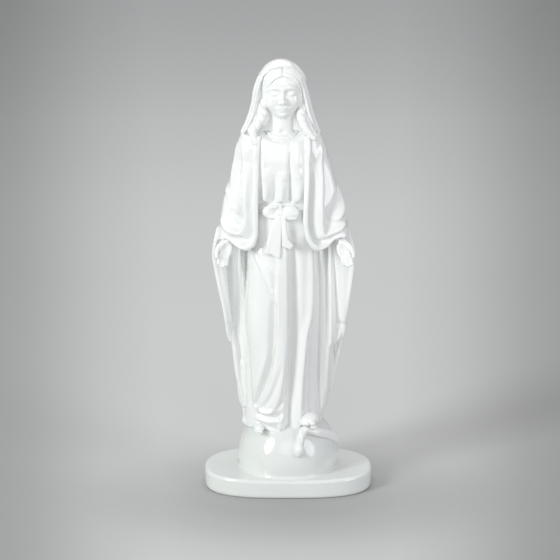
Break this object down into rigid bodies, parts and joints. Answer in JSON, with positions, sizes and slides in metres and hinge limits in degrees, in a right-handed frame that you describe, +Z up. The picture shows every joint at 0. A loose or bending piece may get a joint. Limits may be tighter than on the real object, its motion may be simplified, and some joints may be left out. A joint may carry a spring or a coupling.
{
  "type": "madonna statue",
  "caption": "White glazed porcelain statue of a veiled standing woman with open lowered hands, on a globe with a serpent and a low oval plinth.",
  "frame": {"origin": "centre of the plinth's underside, on the surface that the statue stands on", "axes": "+Z up, -Y out of the figure's front towards the viewer, +X to the viewer's right, which is the figure's own left side"},
  "size_m": [0.117, 0.076, 0.3],
  "materials": {
    "base_glaze": "thick glossy white glaze, faintly pooled where the globe meets the plinth",
    "gown_glaze": "glossy white glaze over soft pleats",
    "mantle_glaze": "glossy white glaze over deep folds",
    "skin_glaze": "glossy white glaze, unpainted face, hands and feet",
    "hair_glaze": "glossy white glaze over waved locks",
    "serpent_glaze": "glossy white glaze, rounded and a little blurred"
  },
  "bodies": {
    "root": {"base_plinth": "base_glaze", "globe": "base_glaze", "serpent_body": "serpent_glaze", "serpent_head": "serpent_glaze", "right_foot": "skin_glaze", "left_foot": "skin_glaze", "gown_skirt": "gown_glaze", "gown_bodice": "gown_glaze", "collar_band": "gown_glaze", "waist_belt": "gown_glaze", "sash_bow": "gown_glaze", "sash_tail_right": "gown_glaze", "sash_tail_left": "gown_glaze", "head": "skin_glaze", "hair_right": "hair_glaze", "hair_left": "hair_glaze", "mantle_hood": "mantle_glaze", "mantle_back": "mantle_glaze", "mantle_front_right": "mantle_glaze", "mantle_front_left": "mantle_glaze", "mantle_fall_right": "mantle_glaze", "mantle_fall_left": "mantle_glaze", "sleeve_right": "gown_glaze", "sleeve_left": "gown_glaze", "hand_right": "skin_glaze", "hand_left": "skin_glaze"}
  },
  "joints": []
}
